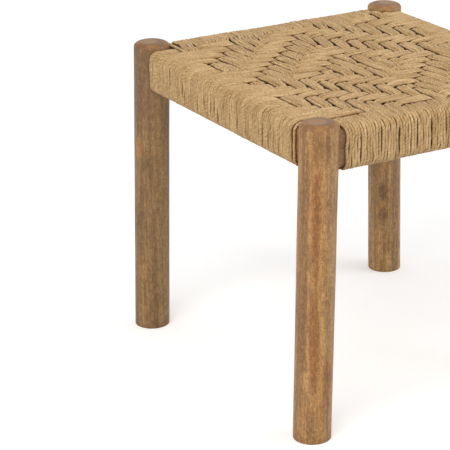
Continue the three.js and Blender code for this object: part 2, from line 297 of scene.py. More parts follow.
def jute_finish(name):
    """Twisted jute. The cord's own map runs round it from 0 to 1 and along it in metres."""
    finish = Finish(name)
    cord_map = finish.node("ShaderNodeUVMap", {"uv_map": "cord_map"})
    weave_shade = finish.node("ShaderNodeAttribute", {"attribute_name": "weave_shade"}, output=2)
    crest = finish.node("ShaderNodeAttribute", {"attribute_name": "crest"}, output=2)
    place = finish.node("ShaderNodeTexCoord", output="Object")
    turn, along, _ = finish.split(cord_map)
    slack = finish.noise((0.0, 0.0, along * 12), detail=1) * 6.0
    slack = slack + finish.noise((0.0, 0.0, along * 45), detail=1) * 1.6
    angle = (turn + along / CORD_LAY + slack) * math.tau
    round_x = angle.math("COSINE")
    round_y = angle.math("SINE")

    tone = finish.noise((0.0, 0.0, along * 9), detail=3, roughness=0.6)
    patches = finish.noise(place, detail=3, roughness=0.6, scale=60)
    fibres = finish.noise((round_x * 4, round_y * 4, along * 90), detail=4, roughness=0.7)
    strands = finish.noise((round_x * 9, round_y * 9, along * 160), detail=3, roughness=0.6)
    dashes = finish.noise((round_x * 1.2, round_y * 1.2, along * 170 + 3), detail=2, roughness=0.6)
    fuzz = finish.noise(place, detail=3, roughness=0.7, scale=420)
    husk = finish.noise((round_x * 2, round_y * 2, along * 240), detail=1)
    husk = finish.between(husk, 0.70, 0.78)
    groove = finish.between(round_y.math("ABSOLUTE"), 0.65, 1.0)
    # painted shade: darker round a cord, away from its outer crest
    valley_shade = 1 - finish.between(crest, -0.3, 0.6)
    pit_shade = 1 - finish.between(crest, -0.6, 0.1)

    colour = finish.layers(
        finish.blend(finish.between(tone, 0.33, 0.67), DEEP_JUTE, PALE_JUTE),
        (finish.between(fibres, 0.52, 0.72) * 0.6, BLEACHED_FIBRE),
        (finish.between(strands, 0.48, 0.75) * 0.45, STRAND_BROWN),
        (finish.between(dashes, 0.50, 0.64) * 0.42, BROWN_FIBRE),
        (finish.between(dashes, 0.48, 0.34) * 0.34, PALE_FIBRE),
        (finish.between(patches, 0.35, 0.65) * 0.25, MIDDLE_JUTE),
        (finish.between(fuzz, 0.5, 0.7) * 0.4, BROWN_FIBRE),
        # painted shade in the ply grooves
        (groove * finish.between(patches, 0.3, 0.65) * 0.4, GROOVE_SHADE_BROWN),
        # painted shade between the cords, deepest next to the rail
        (valley_shade * 0.8, VALLEY_SHADE_BROWN),
        (pit_shade * 0.8, PIT_SHADE_BROWN),
        (husk * 0.5, HUSK_BROWN),
        # painted shade on the cords where they go down under the other winding
        (weave_shade * 0.92, DEPTH_SHADE_BROWN),
    )
    return finish.surface(
        colour,
        roughness=fibres * 0.15 + 0.78,
        height=fibres * 0.5 + strands * 0.4 + fuzz * 0.3 + (1 - groove) * 0.6,
        bump=0.6,
        bump_distance=0.0005,
        constants={"Sheen Weight": 0.15, "Sheen Roughness": 0.5, "Specular IOR Level": 0.2},
    )


def wood_finish(name, axis, pith, base, warm, grey, dark, patches=(), top=None, grain="z"):
    """Wood with its grain along x, y or z.

    axis is the place of the piece's middle, and pith the heart of the tree seen from there. A patch is
    its middle, its width and height, its tint and how strong it is. top is the height of a leg's top.
    """
    finish = Finish(name)
    place = finish.node("ShaderNodeTexCoord", output="Object")
    to_axis = (-axis[0], -axis[1], 0)
    centred = finish.node("ShaderNodeMapping", inputs={"Vector": place, "Location": to_axis})
    across_and_along = {"x": (1, 2, 0), "y": (0, 2, 1), "z": (0, 1, 2)}[grain]
    centred_parts = finish.split(centred)
    x, y, z = (centred_parts[part] for part in across_and_along)

    wave = finish.noise((x * 14, y * 14, z * 3.5), detail=3, roughness=0.55)
    bend = finish.noise((x * 60, y * 60, z * 24), detail=3, roughness=0.6)
    from_pith = finish.length(x - pith[0], y - pith[1], z * 0.02)
    ring = from_pith + wave * 0.03 + bend * 0.006
    year = finish.noise((ring * 220, 0.0, 0.0), detail=3, roughness=0.6)
    cloud = finish.noise((x * 44, y * 44, z * 22), detail=4, roughness=0.65, distortion=0.5)
    stain = finish.noise((x * 34 + 3, y * 34, z * 16), detail=4, roughness=0.65, distortion=0.8)
    band = finish.noise((x * 150 + 2, y * 150, z * 7), detail=2, roughness=0.6, distortion=0.3)
    mottle = finish.noise((x * 170 + 7, y * 170, z * 110), detail=3, roughness=0.6)
    streak = finish.noise((x * 360, y * 360, z * 20), detail=3, roughness=0.65)
    pores = finish.noise((x * 640, y * 640, z * 130), detail=2, roughness=0.6)
    pores = finish.between(pores, 0.55, 0.66)
    fleck = finish.noise((x * 600, y * 600 + 5, z * 200), detail=2, roughness=0.6)
    fleck = finish.between(fleck, 0.55, 0.67)
    speckle = finish.noise(centred, detail=3, roughness=0.7, scale=480)

    colour = finish.layers(
        finish.blend(finish.between(year, 0.35, 0.65), base, warm),
        (finish.between(cloud, 0.46, 0.58) * 0.6, grey),
        (finish.between(stain, 0.50, 0.62) * 0.5, dark),
        (finish.between(band, 0.50, 0.62) * 0.4, dark),
        (finish.between(band, 0.48, 0.38) * 0.4, warm),
    )
    colour = finish.layers(
        lay_patches(finish, colour, patches, x, y, z, bend * 0.9 + stain * 0.6 - 0.75),
        (finish.between(mottle, 0.46, 0.60) * 0.3, dark),
        (finish.between(mottle, 0.46, 0.36) * 0.16, warm),
        (finish.between(streak, 0.44, 0.62) * 0.28, dark),
        (finish.between(streak, 0.44, 0.34) * 0.2, warm),
        (finish.between(speckle, 0.5, 0.62) * 0.5, dark),
        (fleck * 0.4, warm),
        (pores * 0.45, dark),
    )
    height = streak * 0.5 + pores * -0.6 + speckle * 0.3
    if top is not None:
        colour, height = end_grain(finish, x, y, z, bend, colour, height, top)

    return finish.surface(
        colour,
        roughness=0.46 + cloud * 0.2,
        height=height,
        bump=0.4,
        bump_distance=0.0004,
        constants={"Coat Weight": 0.07, "Coat Roughness": 0.35},
    )


PATCH_EDGE = (0.4, 1.1)  # where a patch starts to fade and where it is gone, in patch sizes


def lay_patches(finish, colour, patches, x, y, z, ragged):
    """Lays patches of other tints over a colour. ragged is added to the distance from their middles."""
    for (patch_x, patch_y, patch_z), (width, height), tint, strength in patches:
        distance = finish.length((x - patch_x) / width, (y - patch_y) / width, (z - patch_z) / height)
        inside = 1 - finish.between(distance + ragged, *PATCH_EDGE)
        colour = finish.blend(inside * strength, colour, tint)
    return colour


END_GRAIN_HEART = (0.004, -0.003)  # from the middle of a leg's top
RINGS_TO_THE_METRE = 270.56
SHOULDER_REACH = (1.3, 0.4)  # where its colour starts and is full, in its heights below the top
FLAT_REACH = (0.0012, 0.0003)  # where the end grain starts and is full, below the top
FLAT_EDGE = (0.75, 1.2)  # where the edge's colour starts and is full, in the flat's radii
END_GRAIN_TAN = rgb(166, 126, 86)
END_GRAIN_BROWN = rgb(92, 62, 40)
END_GRAIN_CLOUD = rgb(124, 88, 58)
END_GRAIN_SPECKLE = rgb(100, 74, 54)
FLAT_EDGE_BROWN = rgb(92, 60, 36)
SHOULDER_BROWN = rgb(112, 68, 26)
SHOULDER_GOLD = rgb(154, 104, 46)


def end_grain(finish, x, y, z, bend, colour, height, top):
    """A leg's top: warm on the rounded shoulder, and weathered end grain with rings on the flat."""
    radius = finish.length(x, y, 0.0)
    heart_x, heart_y = END_GRAIN_HEART
    from_heart = finish.length(x - heart_x, y - heart_y, 0.0)
    on_shoulder = finish.between(z, *(top - SHOULDER_HEIGHT * reach for reach in SHOULDER_REACH))
    on_flat = finish.between(z, *(top - reach for reach in FLAT_REACH))
    speckle = finish.noise((x * 900, y * 900, z * 900), detail=3, roughness=0.7)
    ring_angle = (from_heart + bend * 0.004) * (RINGS_TO_THE_METRE * math.tau)
    rings = ring_angle.math("SINE") * 0.5 + 0.5
    edge = finish.between(radius, *(TOP_FLAT_RADIUS * share for share in FLAT_EDGE))
    flat = finish.layers(
        END_GRAIN_TAN,
        (finish.between(rings, 0.3, 0.9) * 0.55, END_GRAIN_BROWN),
        (finish.between(bend, 0.4, 0.62) * 0.4, END_GRAIN_CLOUD),
        (finish.between(speckle, 0.5, 0.75) * 0.45, END_GRAIN_SPECKLE),
        (edge * 0.6, FLAT_EDGE_BROWN),
    )
    shoulder = finish.blend(finish.between(bend, 0.4, 0.65), SHOULDER_BROWN, SHOULDER_GOLD)
    colour = finish.layers(colour, (on_shoulder * 0.6, shoulder), (on_flat * 0.85, flat))
    return colour, height + on_flat * (speckle * 0.6 + rings * 0.4)


STEEL_DARK = rgb(150, 148, 142)
STEEL_PALE = rgb(188, 186, 180)
RUST = rgb(112, 78, 54)


def steel_finish(name):
    """Dull steel with a little rust."""
    finish = Finish(name)
    place = finish.node("ShaderNodeTexCoord", output="Object")
    wear = finish.noise(place, detail=3, roughness=0.6, scale=900)
    rust = finish.between(finish.noise(place, detail=2, scale=420), 0.55, 0.7)
    colour = finish.layers(finish.blend(wear, STEEL_DARK, STEEL_PALE), (rust * 0.35, RUST))
    return finish.surface(
        colour,
        roughness=wear * 0.2 + 0.32,
        height=wear,
        bump=0.2,
        bump_distance=0.0001,
        constants={"Metallic": 1.0},
    )


FLOOR_SIZE = 30.0
FLOOR_GREY = (0.8, 0.8, 0.8, 1)
FLOOR_LIFT = 0.36  # how much light is added to the floor where it is seen


def floor_finish(name):
    """A white floor that still takes the stool's shadow. Seen directly it is lifted to white."""
    finish = Finish(name)
    matt = finish.node("ShaderNodeBsdfDiffuse", inputs={"Color": FLOOR_GREY})
    glow = finish.node("ShaderNodeEmission", inputs={"Color": WHITE, "Strength": FLOOR_LIFT})
    lifted = finish.node("ShaderNodeAddShader", inputs={0: matt, 1: glow})
    surface = finish.node("ShaderNodeMixShader", inputs={0: finish.seen(), 1: matt, 2: lifted})
    finish.node("ShaderNodeOutputMaterial", inputs={"Surface": surface})
    return finish.data


# Meshes
def add_object(name, data):
    """Puts a mesh, a curve, a lamp or a camera in the scene."""
    made = bpy.data.objects.new(name, data)
    bpy.context.scene.collection.objects.link(made)
    return made


def add_piece(name, mesh, material, node):
    """A finished mesh as a piece of the stool, in place of one of the frame's, on its one body."""
    mesh.shade_smooth()
    mesh.materials.append(material)
    made = add_object(name, mesh)
    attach(made, "root")
    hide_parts(node)


def turned(profile, segments):
    """A closed solid of revolution about Z, from an outline of (radius, height)."""
    builder = bmesh.new()
    points = [builder.verts.new((radius, 0, height)) for radius, height in profile]
    edges = [builder.edges.new(pair) for pair in zip(points, points[1:])]
    bmesh.ops.spin(
        builder,
        geom=points + edges,
        axis=(0, 0, 1),
        cent=(0, 0, 0),
        steps=segments,
        angle=math.tau,
        use_merge=True,
        use_duplicate=False,
    )
    bmesh.ops.remove_doubles(builder, verts=builder.verts, dist=MERGE_DISTANCE)
    bmesh.ops.recalc_face_normals(builder, faces=builder.faces)
    return builder


# Weave
def smooth(share):
    """0 up to 0, 1 from 1 on and an even slope between that starts and ends gently."""
    share = np.clip(share, 0, 1)
    return share * share * (3 - 2 * share)


def band_edges(widths, total):
    """Where the bands of relative widths meet, from side to side of the seat."""
    return (np.concatenate([[0], np.cumsum(widths)]) / sum(widths) - 0.5) * total


def cords_in_bands(edges):
    """For each cord its band, its place in the band and the number of cords there."""
    cords = []
    for band, width in enumerate(np.diff(edges)):
        count = round(width / CORD_PITCH)
        cords += [(band, place, count) for place in range(count)]
    return cords


def fan(x, y):
    """How far the weft has drifted to the right of its place in the middle of the seat."""
    (left_start, left_end), (right_start, right_end) = FAN_LEFT, FAN_RIGHT
    spread = np.clip((x - left_start) / (left_end - left_start), 0, 1)
    spread = spread * np.clip((x - right_start) / (right_end - right_start), 0, 1)
    along = np.clip((y - FAN_START) / (back_rail_y - FAN_START), 0, 1)
    return FAN_SHIFT * spread * along ** 2


def corner_lift(x, y):
    """How far the crowded cords by the back right leg are lifted."""
    distance = np.hypot(x - CORNER[0], y - CORNER[1])
    return CORNER_LIFT * smooth(1 - distance / CORNER_REACH)


def weft_is_over(row, column):
    """Rows are warp bands from the back and columns weft bands from the left."""
    distance = abs(row - len(WARP_BAND_WIDTHS) // 2) + abs(column - len(WEFT_BAND_WIDTHS) // 2)
    return (distance - 1) % (2 * FLOAT_BANDS) < FLOAT_BANDS


def weave_level(states, u, edges):
    """1 where the band is over and -1 where it is under, at the places u."""
    level = np.ones_like(u)
    for edge, step in zip(edges, np.diff(states, prepend=1, append=1)):
        centre = edge + np.sign(step) * DIVE_SHIFT
        level += step * smooth((u - centre) / (2 * DIVE_HALF_LENGTH) + 0.5)
    return level


def pinch(states, beside, u, edges, length):
    """1 where a band's edge is drawn back, at the ends of a float that the band beside it goes past."""
    straight = np.ones_like(u)
    for cell in np.flatnonzero((states < 0) & (beside > 0)):
        away = np.maximum(edges[cell] - u, u - edges[cell + 1])
        straight = np.minimum(straight, smooth((away + PINCH_START) / length))
    return 1 - straight


def wander(u, amount):
    """A slow uneven line, different at each call."""
    waves = [np.sin(math.tau * (u / length + random.random())) for length in WANDER_LENGTHS]
    return amount * np.sum(waves, axis=0) * math.sqrt(2 / len(WANDER_LENGTHS))


def places_on_rail(count, width, end_gaps=(END_GAP, END_GAP), wide_gaps=None, evenness=EVEN_GAP_WEIGHT):
    """Middles of cords laid side by side by hand. wide_gaps has the width of some, by the cord before."""
    start_gap, end_gap = end_gaps
    wide = np.zeros(count - 1)
    for number, gap in (wide_gaps or {}).items():
        wide[number] = gap
    weights = evenness + random.gamma(LOOSE_GAP_SHAPE, 1, count - 1)
    free = width - start_gap - end_gap - count * CORD_THICKNESS - wide.sum()
    gaps = np.concatenate([[0], np.cumsum(weights / weights.sum() * free + wide)])
    return -width / 2 + start_gap + CORD_THICKNESS / 2 + np.arange(count) * CORD_THICKNESS + gaps


def random_openings(count):
    """Where the cords part on a rail's outer face: the cord before, height, length and width."""
    openings = []
    for number in range(OPENING_MARGIN, count - OPENING_MARGIN, OPENING_SPACING):
        place = number + random.integers(-OPENING_STRAY, OPENING_STRAY + 1)
        openings.append((place, *(random.uniform(*limits) for limits in OPENING_RANGES)))
    return openings


def arc(centre_u, centre_z, radius, start, stop):
    """Points of a cord's way round a rail's corner, between two angles in degrees."""
    angles = np.radians(np.linspace(start, stop, RAIL_CORNER_POINTS))
    return list(zip(centre_u + radius * np.cos(angles), centre_z + radius * np.sin(angles)))


def resample(points, step):
    """The same line with points a step apart."""
    points = np.array(points)
    run = np.concatenate([[0], np.cumsum(np.linalg.norm(np.diff(points, axis=0), axis=1))])
    places = np.linspace(0, run[-1], round(run[-1] / step) + 1)
    return np.interp(places, run, points[:, 0]), np.interp(places, run, points[:, 1])


class Winding:
    """A cord wound round two rails: u runs from the first rail to the second, and v across."""

    def __init__(
        self,
        rail_box,  # of one of the two rails
        axis,  # that u runs along, 0 for x or 1 for y
        edges,  # of the bands, as v
        crossings,  # the edges of the other winding's bands, as u, at a v
        over,  # whether a band is over the other winding's in a cell between crossings
        pinch_size,
        drift,  # of a cord to the side, at its v and u
        rails,  # each cord's v on the first and the second rail
        rail_fullness,
        openings,  # between cords on the first and the second rail
        rise,  # of the way back under the seat
        to_place,  # from u and v to x and y
    ):
        low, high = rail_box
        self.edges = edges
        self.crossings = crossings
        self.pinch_length, self.pinch_draw = pinch_size
        self.drift = drift
        self.rails = rails
        self.rail_fullness = rail_fullness
        self.openings = openings
        self.rise = rise
        self.to_place = to_place
        cells = len(crossings(0)) - 1
        self.states = [
            np.array([1.0 if over(band, cell) else -1.0 for cell in range(cells)])
            for band in range(len(edges) - 1)
        ]
        self.states += [-np.ones(cells)]  # beside the last band, and by index -1 beside the first
        self.cords = cords_in_bands(edges)
        self.half_width = edges[-1]
        self.half_mat = crossings(0)[-1]
        clear = CORD_TO_RAIL + CORD_THICKNESS / 2
        self.half_span = abs(low[axis] + high[axis]) / 2
        outer = max(abs(low[axis]), abs(high[axis])) - RAIL_CORNER
        self.top = high.z + clear
        self.bottom = low.z - clear
        radius = RAIL_CORNER + clear
        self.leave = 2 * self.half_span - outer  # where a cord leaves a rail's top
        half_loop = arc(outer, high.z - RAIL_CORNER, radius, 90, 0)
        half_loop += arc(outer, low.z + RAIL_CORNER, radius, 0, -90)
        half_loop.append((self.half_span, self.bottom))
        first_half = [(-u, z) for u, z in reversed(half_loop)]
        self.over_u, self.over_z = resample(first_half + half_loop, CORD_STEP)
        self.back_u, self.back_z = resample(
            [(self.half_span, self.bottom), (-self.half_span, self.bottom)], CORD_STEP
        )
        middle_z = (self.top + self.bottom) / 2
        self.on_top = self.over_z > middle_z
        self.height_share = (self.over_z - self.bottom) / (self.top - self.bottom)
        slope = np.stack([-np.gradient(self.over_z), np.gradient(self.over_u)])
        self.outward = slope / np.linalg.norm(slope, axis=0)

    def slack(self, turn):
        """How far a turn is pushed sideways by the openings on the outer faces of its two rails."""
        push = np.zeros_like(self.over_u)
        for side, openings in zip((-1, 1), self.openings):
            on_side = self.over_u * side > 0
            for number, height, length, width in openings:
                offset = turn - number - 0.5
                amount = width / 2 * math.copysign(math.exp((0.5 - abs(offset)) / OPENING_REACH), offset)
                from_middle = np.abs(self.height_share - height) / length
                push += amount * smooth(OPENING_END - from_middle) * on_side
        return push

    def fullness(self, turn, spacing, settled):
        """A cord's thickness as a share of the usual, where it spreads to fill the room it has."""
        before, after = max(turn - 1, 0), min(turn + 1, len(self.cords) - 1)
        in_band = np.clip(spacing / CORD_THICKNESS, *FULLNESS)
        full = np.ones_like(settled)
        for side, rail, most in zip((-1, 1), self.rails, self.rail_fullness):
            on_rail = np.clip((rail[after] - rail[before]) / (after - before) / CORD_THICKNESS, 1, most)
            full = np.where(self.over_u * side > 0, on_rail + (in_band - on_rail) * settled, full)
        return 1 + (full - 1) * self.on_top

    def over_the_seat(self, turn):
        """One turn from under the first rail, over the seat, to under the second."""
        band, cord, cords = self.cords[turn]
        u = self.over_u
        run = np.arange(len(u)) * CORD_STEP
        middle = (self.edges[band] + self.edges[band + 1]) / 2
        own_spacing = (self.edges[band + 1] - self.edges[band]) / cords
        states, crossings = self.states[band], self.crossings(middle)
        level = weave_level(states, u, crossings)
        low_pinch, high_pinch = (
            self.pinch_draw * pinch(states, self.states[neighbour], u, crossings, self.pinch_length)
            for neighbour in (band - 1, band + 1)
        )
        in_mat = smooth((self.leave - np.abs(u)) / (self.leave - self.half_mat)) * self.on_top
        settled = smooth((self.leave - np.abs(u)) / SETTLE_LENGTH) * self.on_top

        from_middle = cord - (cords - 1) / 2
        share = cord / (cords - 1)
        v_mat = middle + from_middle * own_spacing + low_pinch * (1 - share) - high_pinch * share
        v_mat = v_mat + self.drift(v_mat, u)
        first, second = self.rails[0][turn], self.rails[1][turn]
        across = smooth(u / (2 * self.leave) + 0.5)
        v_rail = first + (second - first) * across
        v = v_rail + (v_mat - v_rail) * settled + wander(run, SIDE_WANDER)
        v += self.slack(turn)

        sag = MAT_SAG * (1 - (u / self.leave) ** 2) * (1 - (v / self.half_width) ** 2)
        crown = BAND_CROWN * (1 - (from_middle / CROWN_REACH) ** 2)
        crowd = CROWD_LIFT * (1 if cord % 2 else -1) * (low_pinch + high_pinch)
        mat_z = -MAT_DROP - sag + level * MAT_LIFT + crown + crowd
        uneven = np.abs(wander(run, HEIGHT_WANDER))
        # painted shade: the further a cord has gone under the other winding, the darker
        weave_shade = smooth((WEAVE_SHADE_LEVEL - level) / (WEAVE_SHADE_LEVEL + 1)) * in_mat
        u = u + uneven * self.outward[0]
        z = self.over_z + mat_z * in_mat + uneven * self.outward[1]
        z = z + corner_lift(*self.to_place(u, v)) * in_mat
        spacing = own_spacing - (low_pinch + high_pinch) / (cords - 1)
        full = self.fullness(turn, spacing, settled)
        z = z + (full - 1) * (CORD_THICKNESS / 2) * (1 - in_mat)
        return self.rows(u, v, z, weave_shade, self.outward, full)

    def rows(self, u, v, z, weave_shade, outward, full=1.0):
        """Points of x, y, z, painted shade deep in the weave, the direction away from the rails, and the
        fullness.
        """
        x, y = self.to_place(u, v)
        out_x, out_y = self.to_place(outward[0], 0 * u)
        return np.stack([x, y, z, weave_shade, out_x, out_y, outward[1], full + 0 * u], axis=1)

    def back_under(self, turn):
        """The way back under the seat to the next turn."""
        u = self.back_u[1:-1]
        share = smooth(0.5 - u / (2 * self.half_span))
        start, end = self.rails[1][turn], self.rails[0][turn + 1]
        lift = self.rise * smooth((self.leave - np.abs(u)) / RISE_LENGTH)
        v = start + (end - start) * share + wander(u, SIDE_WANDER) * (1 - (u / self.half_span) ** 2)
        return self.rows(u, v, self.back_z[1:-1] + lift, 0 * u, (0 * u, 0 * u - 1))

    def start_of(self, turn):
        """The first point of a turn, where a piece of the cord ends and the next one starts."""
        place = [np.array([value]) for value in (-self.half_span, self.rails[0][turn], self.bottom, 0.0)]
        return self.rows(*place, (np.zeros(1), -np.ones(1)))


def cord_section():
    """The outline that every cord is drawn with."""
    data = bpy.data.curves.new("cord_section", "CURVE")
    data.dimensions = "2D"
    spline = data.splines.new("POLY")
    spline.points.add(CORD_SIDES - 1)
    for index, point in enumerate(spline.points):
        angle = math.tau * index / CORD_SIDES
        point.co = (CORD_THICKNESS / 2 * math.cos(angle), CORD_THICKNESS / 2 * math.sin(angle), 0, 1)
    spline.use_cyclic_u = True
    return add_object("cord_section", data)


def cord_mesh(name, points, start, section):
    """A cord along points from Winding.rows, and its length. start is the length of cord before them."""
    data = bpy.data.curves.new(name, "CURVE")
    data.dimensions = "3D"
    data.twist_mode = "MINIMUM"
    data.bevel_mode = "OBJECT"
    data.bevel_object = section
    spline = data.splines.new("POLY")
    spline.points.add(len(points) - 1)
    places, weave_shade, outward, fullness = np.split(points, (3, 4, 7), axis=1)
    spline.points.foreach_set("co", np.column_stack([places, np.ones(len(points))]).ravel())
    spline.points.foreach_set("radius", fullness.ravel())
    steps = np.linalg.norm(np.diff(places, axis=0), axis=1)
    run = start + np.concatenate([[0], np.cumsum(steps)])
    guide = add_object(name + "_guide", data)
    bpy.context.view_layer.update()
    evaluated = guide.evaluated_get(bpy.context.evaluated_depsgraph_get())
    mesh = bpy.data.meshes.new_from_object(evaluated)
    bpy.data.objects.remove(guide)
    close_ends(mesh)
    map_cord(mesh, run)
    add_values(mesh, "weave_shade", np.repeat(weave_shade, CORD_SIDES))
    corners = np.zeros(len(mesh.vertices) * 3)
    mesh.vertices.foreach_get("co", corners)
    from_middle = corners.reshape(-1, 3) - np.repeat(places, CORD_SIDES, axis=0)
    outward = np.repeat(outward, CORD_SIDES, axis=0)
    # crest: 1 on a cord's outer side and -1 on its side towards the rail; the jute's painted shade
    # between cords follows it
    add_values(mesh, "crest", (from_middle * outward).sum(axis=1) / (CORD_THICKNESS / 2))
    return mesh, run[-1]


def add_values(mesh, name, values):
    """Gives each vertex a value that a material can read."""
    layer = mesh.attributes.new(name, "FLOAT", "POINT")
    layer.data.foreach_set("value", values.astype(np.float32))


def close_ends(mesh):
    """Closes a cord's two open ends with a face each."""
    builder = bmesh.new()
    builder.from_mesh(mesh)
    rims = [edge for edge in builder.edges if edge.is_boundary]
    bmesh.ops.holes_fill(builder, edges=rims, sides=CORD_SIDES)
    builder.to_mesh(mesh)
    builder.free()


def map_cord(mesh, run):
    """Adds the map that runs round the cord and along it."""
    for layer in list(mesh.uv_layers):
        mesh.uv_layers.remove(layer)
    corners = np.zeros(len(mesh.loops), np.int32)
    mesh.loops.foreach_get("vertex_index", corners)
    ring, side = np.divmod(corners, CORD_SIDES)
    turn = side / CORD_SIDES
    sizes = np.zeros(len(mesh.polygons), np.int32)
    mesh.polygons.foreach_get("loop_total", sizes)
    face = np.repeat(np.arange(len(sizes)), sizes)
    last = np.zeros(len(sizes), bool)
    np.logical_or.at(last, face, side == CORD_SIDES - 1)
    turn = np.where(last[face] & (side == 0), 1.0, turn)
    layer = mesh.uv_layers.new(name="cord_map")
    layer.data.foreach_set("uv", np.column_stack([turn, run[ring]]).astype(np.float32).ravel())


def wind(winding, name, node, material, section):
    """Makes all the pieces of one winding and gives the cord's length."""
    count = len(winding.cords)
    run = 0.0
    for piece in range(PIECES_PER_WINDING):
        first, stop = (round(count * (piece + step) / PIECES_PER_WINDING) for step in (0, 1))
        stretches = []
        for turn in range(first, stop):
            stretches.append(winding.over_the_seat(turn))
            if turn + 1 < count:
                stretches.append(winding.back_under(turn))
        if stop < count:
            stretches.append(winding.start_of(stop))
        piece_name = f"{name}_{piece + 1}"
        mesh, run = cord_mesh(piece_name, np.concatenate(stretches), run, section)
        add_piece(piece_name, mesh, material, node)
    return run


# Legs
ORANGE_BROWN = rgb(150, 92, 38)
# painted highlight for the lit middle of a leg
HIGHLIGHT_GOLD = rgb(197, 148, 82)
PALE_ORANGE = rgb(186, 130, 66)
KNOT_BROWN = rgb(98, 66, 40)
GREY_BROWN = rgb(126, 93, 64)
# painted reflection: the grey of a leg's right side
SIDE_REFLECTION_OLIVE = rgb(160, 131, 84)
DULL_BROWN = rgb(127, 92, 55)
LEGS = {  # colours: the base, a warm tint, a grey one and a dark one
    "leg_front_left": {
        "sides": (-1, -1),
        "pith": (0.05, 0.03),
        "colours": (rgb(166, 118, 70), rgb(204, 156, 96), rgb(162, 132, 90), rgb(108, 68, 29)),
        "patches": [
            # painted highlight: a golden band down the lit middle of the leg
            ((-0.0110, -0.0241, 0.22), (0.011, 0.30), HIGHLIGHT_GOLD, 0.75),
            # painted reflection: a grey band down the leg's right side
            ((0.0100, -0.0245, 0.22), (0.010, 0.30), SIDE_REFLECTION_OLIVE, 0.65),
            ((-0.0260, -0.0052, 0.22), (0.011, 0.30), DULL_BROWN, 0.75),
            ((-0.0140, -0.0225, 0.33), (0.008, 0.13), ORANGE_BROWN, 0.95),
            ((-0.0160, -0.0211, 0.15), (0.008, 0.10), ORANGE_BROWN, 0.9),
            ((0.0020, -0.0264, 0.085), (0.009, 0.05), ORANGE_BROWN, 0.9),
            ((0.0066, -0.0256, 0.100), (0.007, 0.016), KNOT_BROWN, 0.6),
            ((0.0040, -0.0262, 0.060), (0.006, 0.012), KNOT_BROWN, 0.4),
        ],
    },
    "leg_front_right": {
        "sides": (1, -1),
        "pith": (-0.04, 0.05),
        "colours": (rgb(152, 110, 64), rgb(184, 140, 84), rgb(156, 124, 88), rgb(98, 64, 30)),
        "patches": [((0.004, -0.026, 0.21), (0.010, 0.018), KNOT_BROWN, 0.6)],
    },
    "leg_back_left": {
        "sides": (-1, 1),
        "pith": (0.03, -0.05),
        "colours": (rgb(137, 102, 58), rgb(171, 133, 81), rgb(137, 110, 70), rgb(90, 60, 28)),
        "patches": [
            ((-0.016, -0.012, 0.385), (0.026, 0.080), GREY_BROWN, 0.8),
            # painted reflection: a grey band down the leg's right side
            ((0.0060, -0.0255, 0.22), (0.014, 0.30), SIDE_REFLECTION_OLIVE, 0.5),
            ((-0.0257, -0.0062, 0.290), (0.008, 0.026), PALE_ORANGE, 0.95),
            ((-0.0240, -0.0110, 0.10), (0.006, 0.05), PALE_ORANGE, 0.5),
        ],
    },
    "leg_back_right": {
        "sides": (1, 1),
        "pith": (-0.05, -0.02),
        "colours": (rgb(190, 141, 86), rgb(218, 172, 110), rgb(176, 147, 101), rgb(114, 80, 41)),
        "patches": [
            ((-0.0180, -0.0190, 0.20), (0.012, 0.30), ORANGE_BROWN, 0.15),
            # painted reflection: a grey band down the leg's right side
            ((0.0084, -0.0251, 0.20), (0.012, 0.30), GREY_BROWN, 0.85),
            ((-0.0165, -0.0207, 0.141), (0.009, 0.017), KNOT_BROWN, 0.8),
            ((-0.0155, -0.0210, 0.102), (0.009, 0.013), KNOT_BROWN, 0.7),
        ],
    },
}


def leg_outline(height):
    """From the middle of the foot to the middle of the top, as (radius, height)."""
    outline = [(0, 0)]
    for step in range(FOOT_EASE_STEPS + 1):
        angle = math.pi / 2 * step / FOOT_EASE_STEPS
        outline.append(
            (LEG_RADIUS - FOOT_EASE * (1 - math.sin(angle)), FOOT_EASE * (1 - math.cos(angle)))
        )
    shaft = height - SHOULDER_HEIGHT - FOOT_EASE
    rings = round(shaft / LEG_RING_SPACING)
    outline += [(LEG_RADIUS, FOOT_EASE + shaft * ring / rings) for ring in range(1, rings)]
    for step in range(SHOULDER_STEPS + 1):
        angle = math.pi / 2 * step / SHOULDER_STEPS
        radius = TOP_FLAT_RADIUS + (LEG_RADIUS - TOP_FLAT_RADIUS) * math.cos(angle)
        outline.append((radius, height - SHOULDER_HEIGHT * (1 - math.sin(angle))))
    outline.append((TOP_FLAT_RADIUS / 2, height))
    outline.append((0, height))
    return outline


def make_leg(name, side_x, side_y, material):
    """A leg that stands on its foot in the frame and leans in to its top."""
    low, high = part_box(name)
    height = high.z
    foot_x = low.x + LEG_RADIUS if side_x < 0 else high.x - LEG_RADIUS
    foot_y = low.y + LEG_RADIUS if side_y < 0 else high.y - LEG_RADIUS
    builder = turned(leg_outline(height), LEG_SEGMENTS)
    for vertex in builder.verts:
        if 0 < vertex.co.z < height - SHOULDER_HEIGHT:
            lump_x = foot_x * LEG_LUMP_SHIFT + vertex.co.x * LUMPS_ROUND_LEG
            lump_y = foot_y * LEG_LUMP_SHIFT + vertex.co.y * LUMPS_ROUND_LEG
            lump = noise.noise(Vector((lump_x, lump_y, vertex.co.z * LUMPS_ALONG_LEG)))
            growth = (lump - 0.5) * LEG_UNEVENNESS / LEG_RADIUS
            vertex.co.x += vertex.co.x * growth
            vertex.co.y += vertex.co.y * growth
    lean = Matrix.Identity(4)
    lean[0][2] = -side_x * LEG_SPLAY[0] / height
    lean[1][2] = -side_y * LEG_SPLAY[1] / height
    lean.translation = (foot_x, foot_y, 0)
    bmesh.ops.transform(builder, matrix=lean, verts=builder.verts)
    mesh = bpy.data.meshes.new(name + "_turned")
    builder.to_mesh(mesh)
    builder.free()
    add_piece(name + "_turned", mesh, material, name)
    mesh.set_sharp_from_angle(angle=SHARP_ANGLE)


